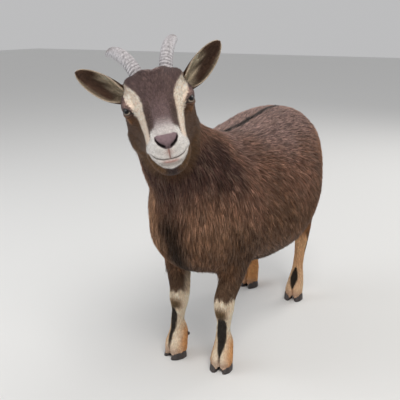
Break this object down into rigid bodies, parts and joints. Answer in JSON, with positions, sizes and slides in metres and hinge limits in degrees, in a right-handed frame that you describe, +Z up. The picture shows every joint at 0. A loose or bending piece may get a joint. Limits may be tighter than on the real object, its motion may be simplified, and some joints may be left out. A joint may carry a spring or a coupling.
{
  "type": "goat",
  "caption": "Life-size model of a small brown dairy-type doe goat standing square with her head turned to her left, with short curved horns, cream face stripes and cream and tan lower legs.",
  "frame": {"origin": "on the floor, under the middle of the goat's bounding box", "axes": "+Z up; the goat stands along Y and faces -Y, with her left side towards +X"},
  "size_m": [0.3084, 0.856, 0.7137],
  "materials": {
    "coat_brown": "dark reddish-brown hair, two to four centimetres long, matt",
    "coat_head": "short dark-brown hair with cream stripes and a white muzzle, matt",
    "coat_tan": "short cream and orange-tan hair with black stripes, matt",
    "ear_skin": "thin haired skin, dark brown with a pale rim, matt",
    "horn": "grey ringed horn, dull",
    "hoof": "dark grey hoof horn, satin",
    "eye": "wet, glossy"
  },
  "bodies": {
    "root": {"head": "coat_head", "neck": "coat_brown", "trunk": "coat_brown", "tail": "coat_brown", "ear_left": "ear_skin", "ear_right": "ear_skin", "eye_left": "eye", "eye_right": "eye", "horn_left": "horn", "horn_right": "horn", "forearm_fore_left": "coat_brown", "cannon_fore_left": "coat_tan", "pastern_fore_left": "coat_tan", "hoof_fore_left_outer": "hoof", "dewclaw_fore_left_outer": "hoof", "hoof_fore_left_inner": "hoof", "dewclaw_fore_left_inner": "hoof", "forearm_fore_right": "coat_brown", "cannon_fore_right": "coat_tan", "pastern_fore_right": "coat_tan", "hoof_fore_right_outer": "hoof", "dewclaw_fore_right_outer": "hoof", "hoof_fore_right_inner": "hoof", "dewclaw_fore_right_inner": "hoof", "gaskin_hind_left": "coat_brown", "cannon_hind_left": "coat_tan", "pastern_hind_left": "coat_tan", "hoof_hind_left_outer": "hoof", "dewclaw_hind_left_outer": "hoof", "hoof_hind_left_inner": "hoof", "dewclaw_hind_left_inner": "hoof", "gaskin_hind_right": "coat_brown", "cannon_hind_right": "coat_tan", "pastern_hind_right": "coat_tan", "hoof_hind_right_outer": "hoof", "dewclaw_hind_right_outer": "hoof", "hoof_hind_right_inner": "hoof", "dewclaw_hind_right_inner": "hoof"}
  },
  "joints": []
}
